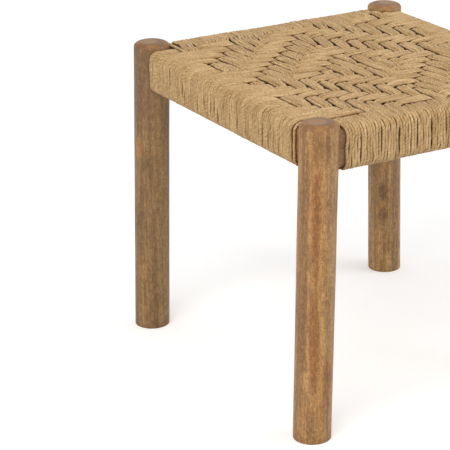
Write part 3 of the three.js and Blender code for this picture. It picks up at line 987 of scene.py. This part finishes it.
# Rails and tacks
RAIL_PITH = (0.3, 0.3)
RAILS_ALONG = {"x": ("rail_front", "rail_back"), "y": ("rail_left", "rail_right")}
RAIL_COLOURS = {
    "x": (rgb(140, 100, 64), rgb(164, 122, 80), rgb(140, 114, 90), rgb(100, 70, 46)),
    # painted light: lighter than the front and back rails, so that the shaded openings between their
    # cords look brown
    "y": (rgb(158, 108, 62), rgb(180, 130, 78), rgb(154, 114, 78), rgb(112, 72, 38)),
}


def dress(node, material):
    """Gives one of the frame's meshes a new material."""
    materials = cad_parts[node].data.materials
    materials.clear()
    materials.append(material)


# Camera
CAMERA_AZIMUTH = math.radians(-30.1248)
CAMERA_ELEVATION = math.radians(20.8551)
CAMERA_ROLL = math.radians(-0.6817)
CAMERA_DISTANCE = 3.0078273
CAMERA_SIDE_STEP = -0.1912007  # from the line through the stool's origin
CAMERA_RISE = 0.1786431
CAMERA_LENS = 159.2229
SENSOR_WIDTH = 36.0
CAMERA_REACH = 100


def make_camera():
    """A camera that looks back along the line at its azimuth and elevation, and is rolled a little."""
    cos_a, sin_a = math.cos(CAMERA_AZIMUTH), math.sin(CAMERA_AZIMUTH)
    cos_e, sin_e = math.cos(CAMERA_ELEVATION), math.sin(CAMERA_ELEVATION)
    back = Vector((sin_a * cos_e, -cos_a * cos_e, sin_e))
    right = Vector((cos_a, sin_a, 0))
    level = Matrix((right, back.cross(right), back)).transposed()
    turn = level @ Matrix.Rotation(CAMERA_ROLL, 3, "Z")
    data = bpy.data.cameras.new("camera")
    data.lens = CAMERA_LENS
    data.sensor_width = SENSOR_WIDTH
    data.clip_end = CAMERA_REACH
    camera = add_object("camera", data)
    place = turn @ Vector((CAMERA_SIDE_STEP, CAMERA_RISE, CAMERA_DISTANCE))
    camera.matrix_world = Matrix.Translation(place) @ turn.to_4x4()
    bpy.context.scene.camera = camera


# Light
WORLD_STRENGTH = 0.65
LAMP_SIZE = 2.0
LAMP_TARGET = Vector((0, 0, 0.3))
LAMPS = {
    "key": {"place": Vector((-2.2, -1.4, 2.7)), "power": 55, "colour": (1.0, 0.98, 0.95)},
    "fill": {"place": Vector((2.4, -1.4, 1.8)), "power": 34, "colour": (0.97, 0.98, 1.0)},
}


def make_lamp(name, place, power, colour):
    """A soft square lamp at a place, turned to the stool."""
    data = bpy.data.lights.new(name, "AREA")
    data.size = LAMP_SIZE
    data.energy = power
    data.color = colour
    lamp = add_object(name, data)
    lamp.location = place
    lamp.rotation_mode = "QUATERNION"
    lamp.rotation_quaternion = (LAMP_TARGET - place).to_track_quat("-Z", "Y")


def make_floor():
    """A flat white floor under the stool."""
    builder = bmesh.new()
    bmesh.ops.create_grid(builder, x_segments=1, y_segments=1, size=FLOOR_SIZE / 2)
    mesh = bpy.data.meshes.new("floor")
    builder.to_mesh(mesh)
    builder.free()
    mesh.materials.append(floor_finish("floor_white"))
    add_object("floor", mesh)


def make_world():
    """White where it is seen, and dimmer where it only gives light."""
    finish = Finish("studio", bpy.data.worlds)
    dim = finish.node("ShaderNodeBackground", inputs={"Color": WHITE, "Strength": WORLD_STRENGTH})
    white = finish.node("ShaderNodeBackground", inputs={"Color": WHITE, "Strength": 1.0})
    background = finish.node("ShaderNodeMixShader", inputs={0: finish.seen(), 1: dim, 2: white})
    finish.node("ShaderNodeOutputWorld", inputs={"Surface": background})
    bpy.context.scene.world = finish.data


# The scene
make_camera()

# Seat
warp_edges = band_edges(WARP_BAND_WIDTHS, warp_width)
weft_edges = band_edges(WEFT_BAND_WIDTHS, weft_width)
warp_count = len(cords_in_bands(warp_edges))
weft_count = len(cords_in_bands(weft_edges))
warp = Winding(
    rail_box=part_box("rail_left"),
    axis=0,
    edges=warp_edges,
    crossings=lambda v: weft_edges + fan(weft_edges, -v),
    over=lambda band, cell: not weft_is_over(band, cell),
    pinch_size=WARP_PINCH,
    drift=lambda v, u: 0 * u,
    rails=[
        places_on_rail(warp_count, warp_width, LEFT_RAIL_END_GAPS, {warp_count - 2: LEFT_RAIL_LAST_GAP}),
        places_on_rail(warp_count, warp_width, (NO_GAP, END_GAP)),
    ],
    rail_fullness=(1.0, 1.0),
    openings=[LEFT_RAIL_OPENINGS + random_openings(warp_count), random_openings(warp_count)],
    rise=RETURN_RISE,
    to_place=lambda u, v: (u, -v),
)
back_rail = places_on_rail(
    weft_count, weft_width, (NO_GAP, NO_GAP), BACK_RAIL_WIDE_GAPS, BACK_RAIL_EVENNESS
)
weft = Winding(
    rail_box=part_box("rail_front"),
    axis=1,
    edges=weft_edges,
    crossings=lambda v: -warp_edges[::-1],
    over=lambda band, cell: weft_is_over(len(WARP_BAND_WIDTHS) - 1 - cell, band),
    pinch_size=WEFT_PINCH,
    drift=fan,
    rails=[places_on_rail(weft_count, weft_width), back_rail + fan(back_rail, back_rail_y)],
    rail_fullness=(1.0, BACK_RAIL_FULLNESS),
    openings=[FRONT_RAIL_OPENINGS, random_openings(weft_count)],
    rise=0.0,
    to_place=lambda u, v: (v, u),
)
section = cord_section()
jute = jute_finish("jute")
warp_length = wind(warp, "warp_cords", "warp_cord", jute, section)
weft_length = wind(weft, "weft_cords", "weft_cord", jute, section)
bpy.data.objects.remove(section)
print(f"cord lengths: warp {warp_length:.1f} m, weft {weft_length:.1f} m")

# Legs, rails and tacks
for leg, facts in LEGS.items():
    low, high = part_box(leg)
    middle = (low + high) / 2
    wood = wood_finish(
        leg + "_wood", (middle.x, middle.y), facts["pith"], *facts["colours"], facts["patches"], high.z
    )
    make_leg(leg, *facts["sides"], wood)

for axis, colours in RAIL_COLOURS.items():
    wood = wood_finish(f"rail_wood_{axis}", (0, 0), RAIL_PITH, *colours, grain=axis)
    for rail in RAILS_ALONG[axis]:
        dress(rail, wood)

steel = steel_finish("tack_steel")
for tack in ("tack_warp_start", "tack_warp_end", "tack_weft_start", "tack_weft_end"):
    dress(tack, steel)

# Floor and light
make_floor()
make_world()
for lamp, facts in LAMPS.items():
    make_lamp(lamp, **facts)
bpy.context.scene.view_settings.view_transform = "Standard"
